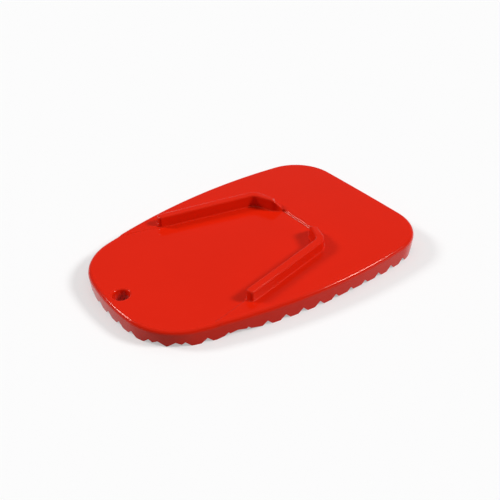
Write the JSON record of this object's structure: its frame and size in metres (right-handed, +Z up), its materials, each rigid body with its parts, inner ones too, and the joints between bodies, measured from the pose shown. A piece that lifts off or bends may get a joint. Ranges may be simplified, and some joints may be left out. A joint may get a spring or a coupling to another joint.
{
  "type": "kickstand foot enlarger",
  "caption": "Moulded pad with a foot pocket between two guide ribs, a cord hole through its nose and a studded underside.",
  "frame": {"origin": "on the ground under the middle of the pad, at the stud tips", "axes": "+X from the nose with the cord hole towards the wide end, +Y to the left seen from above with the nose behind, +Z up"},
  "size_m": [0.1349, 0.0912, 0.013],
  "materials": {
    "moulded_plastic": "gloss"
  },
  "bodies": {
    "root": {"pad": "moulded_plastic"}
  },
  "joints": []
}
